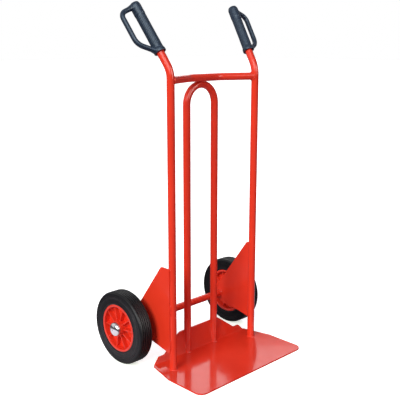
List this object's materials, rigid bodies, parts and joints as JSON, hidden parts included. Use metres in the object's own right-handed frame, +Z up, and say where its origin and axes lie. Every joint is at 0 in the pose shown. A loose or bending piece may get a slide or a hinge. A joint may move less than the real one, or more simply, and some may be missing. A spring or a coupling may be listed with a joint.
{
  "type": "hand truck",
  "caption": "Upright hand truck with a welded tube frame, centre loop, folded toe plate, guarded handgrips and solid rubber wheels on roller bearings.",
  "frame": {"origin": "on the toe plate's underside at floor level, midway between the two uprights and in line with them", "axes": "+X across the truck, to the right as seen from the front; +Y rearward, from the toe plate to the wheels; +Z up"},
  "size_m": [0.6216, 0.49, 1.1898],
  "materials": {
    "frame_paint": "gloss powder coat, orange-red",
    "rim_plastic": "gloss moulded plastic, red",
    "tyre_rubber": "solid black rubber",
    "grip_plastic": "textured soft plastic, dark slate",
    "plated_steel": "bright zinc plate",
    "cap_chrome": "bright plated, polished",
    "bearing_steel": "ground steel",
    "cage_plastic": "natural nylon"
  },
  "bodies": {
    "frame": {"left_upright": "frame_paint", "right_upright": "frame_paint", "top_crossbar": "frame_paint", "centre_loop": "frame_paint", "toe_plate": "frame_paint", "left_wheel_bracket": "frame_paint", "right_wheel_bracket": "frame_paint", "axle_tube": "frame_paint", "axle": "plated_steel", "left_grip": "grip_plastic", "left_hub_cap": "cap_chrome", "left_spacer": "plated_steel", "left_inner_washer": "plated_steel", "left_outer_washer": "plated_steel", "left_push_nut": "plated_steel", "right_grip": "grip_plastic", "right_hub_cap": "cap_chrome", "right_spacer": "plated_steel", "right_inner_washer": "plated_steel", "right_outer_washer": "plated_steel", "right_push_nut": "plated_steel"},
    "left_wheel": {"left_tyre": "tyre_rubber", "left_rim": "rim_plastic", "left_bearing_sleeve": "bearing_steel"},
    "left_bearing": {"left_roller_cage": "cage_plastic", "left_rollers": "bearing_steel"},
    "right_wheel": {"right_tyre": "tyre_rubber", "right_rim": "rim_plastic", "right_bearing_sleeve": "bearing_steel"},
    "right_bearing": {"right_roller_cage": "cage_plastic", "right_rollers": "bearing_steel"}
  },
  "joints": [
    {"name": "left_wheel_spin", "type": "hinge", "parent": "frame", "child": "left_wheel", "pos_m": [-0.2625, 0.172, 0.125], "axis": [1, 0, 0], "continuous": true},
    {"name": "left_bearing_orbit", "type": "hinge", "parent": "frame", "child": "left_bearing", "pos_m": [-0.2625, 0.172, 0.125], "axis": [1, 0, 0], "continuous": true},
    {"name": "right_wheel_spin", "type": "hinge", "parent": "frame", "child": "right_wheel", "pos_m": [0.2625, 0.172, 0.125], "axis": [1, 0, 0], "continuous": true},
    {"name": "right_bearing_orbit", "type": "hinge", "parent": "frame", "child": "right_bearing", "pos_m": [0.2625, 0.172, 0.125], "axis": [1, 0, 0], "continuous": true}
  ],
  "couplings": [
    {"joint": "left_bearing_orbit", "follows": "left_wheel_spin", "ratio": 0.5935},
    {"joint": "right_bearing_orbit", "follows": "right_wheel_spin", "ratio": 0.5935}
  ]
}
